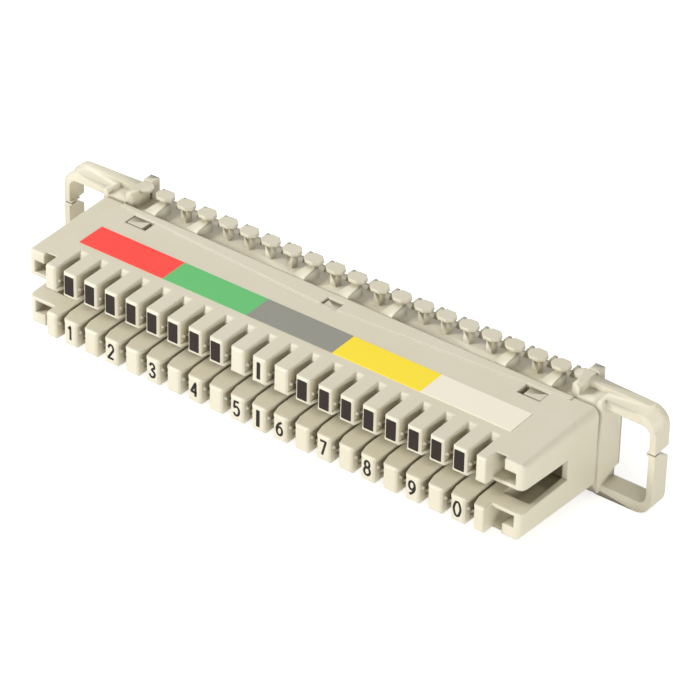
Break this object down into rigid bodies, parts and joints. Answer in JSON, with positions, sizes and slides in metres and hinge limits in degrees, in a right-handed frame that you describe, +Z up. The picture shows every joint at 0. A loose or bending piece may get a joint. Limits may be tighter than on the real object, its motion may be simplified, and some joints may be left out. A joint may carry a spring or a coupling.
{
  "type": "punch down wiring block",
  "caption": "Moulded wiring block with two rows of insulation-displacement slots, a colour strip, rows of wire posts behind and a slit wire ring at each end.",
  "frame": {"origin": "centre of the footprint, at the level of the lowest face", "axes": "+X along the block to the right end, +Y from the tooth fronts back to the jaws, +Z up"},
  "size_m": [0.124, 0.038, 0.0201],
  "materials": {
    "housing_plastic": "satin moulded thermoplastic, pale grey beige",
    "base_plastic": "satin moulded thermoplastic, pale grey beige",
    "label": "printed strip in five colour fields",
    "contact_metal": "silver plated sheet metal"
  },
  "bodies": {
    "root": {"front_housing": "housing_plastic", "base_carrier": "base_plastic", "label_strip": "label", "contact_upper_01": "contact_metal", "contact_upper_02": "contact_metal", "contact_upper_03": "contact_metal", "contact_upper_04": "contact_metal", "contact_upper_05": "contact_metal", "contact_upper_06": "contact_metal", "contact_upper_07": "contact_metal", "contact_upper_08": "contact_metal", "contact_upper_09": "contact_metal", "contact_upper_10": "contact_metal", "contact_upper_11": "contact_metal", "contact_upper_12": "contact_metal", "contact_upper_13": "contact_metal", "contact_upper_14": "contact_metal", "contact_upper_15": "contact_metal", "contact_upper_16": "contact_metal", "contact_upper_17": "contact_metal", "contact_upper_18": "contact_metal", "contact_upper_19": "contact_metal", "contact_upper_20": "contact_metal", "contact_lower_01": "contact_metal", "contact_lower_02": "contact_metal", "contact_lower_03": "contact_metal", "contact_lower_04": "contact_metal", "contact_lower_05": "contact_metal", "contact_lower_06": "contact_metal", "contact_lower_07": "contact_metal", "contact_lower_08": "contact_metal", "contact_lower_09": "contact_metal", "contact_lower_10": "contact_metal", "contact_lower_11": "contact_metal", "contact_lower_12": "contact_metal", "contact_lower_13": "contact_metal", "contact_lower_14": "contact_metal", "contact_lower_15": "contact_metal", "contact_lower_16": "contact_metal", "contact_lower_17": "contact_metal", "contact_lower_18": "contact_metal", "contact_lower_19": "contact_metal", "contact_lower_20": "contact_metal"}
  },
  "joints": []
}
